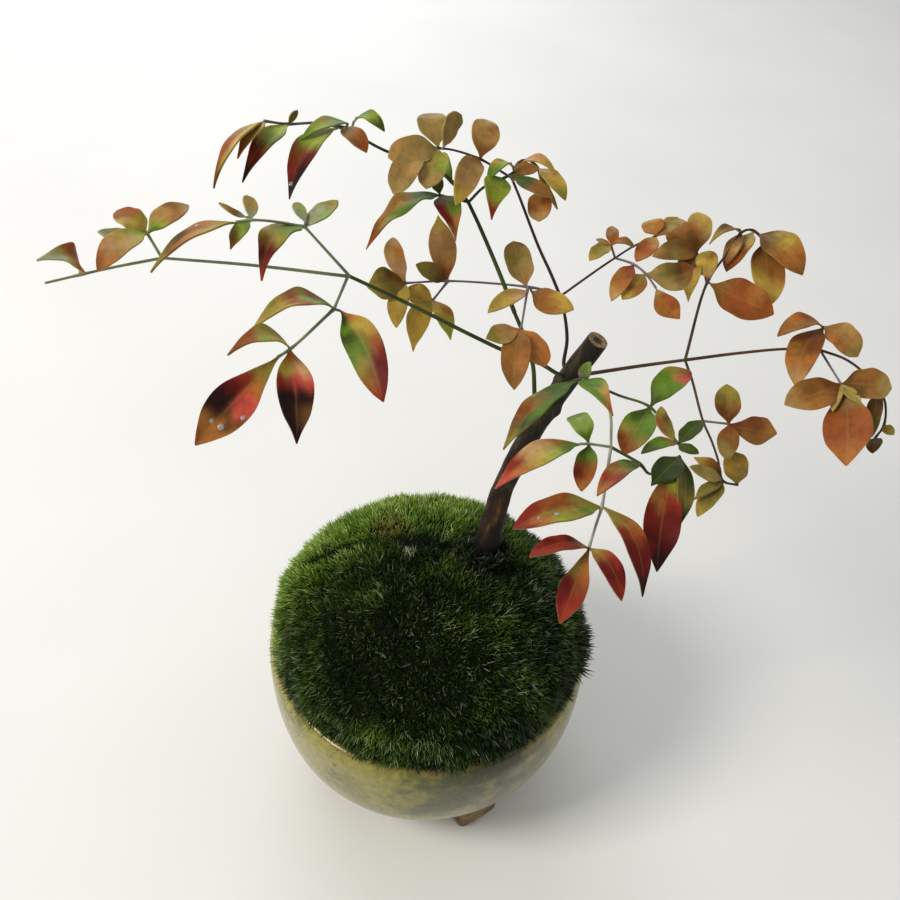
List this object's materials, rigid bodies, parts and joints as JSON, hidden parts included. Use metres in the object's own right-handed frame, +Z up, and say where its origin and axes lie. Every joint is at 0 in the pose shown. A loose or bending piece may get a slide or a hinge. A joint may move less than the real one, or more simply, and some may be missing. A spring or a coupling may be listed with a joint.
{
  "type": "potted dwarf nandina with moss ball",
  "caption": "Small leaning nandina with coloured compound leaves, rooted in a moss-covered soil ball that sits in a round glazed ceramic bowl on squat feet.",
  "frame": {"origin": "on the table, under the middle of the box round the whole plant and bowl; the bowl's axis stands beside it", "axes": "+Z up; the trunk leans towards +X; -Y is the side seen from the front, where the fronds reach forward over the bowl"},
  "size_m": [0.1716, 0.1196, 0.2001],
  "materials": {
    "glaze": "gloss",
    "soil": "matte",
    "moss": "matte",
    "bark": "matte",
    "leaves_orange": "satin",
    "leaves_green": "satin",
    "leaves_tan": "satin",
    "leaves_brown": "satin"
  },
  "bodies": {
    "root": {"bowl": "glaze", "soil_ball": "soil", "moss": "moss", "trunk": "bark", "left_frond": "leaves_orange", "upper_frond": "leaves_green", "middle_frond": "leaves_tan", "right_frond": "leaves_brown", "front_frond": "leaves_green"}
  },
  "joints": []
}
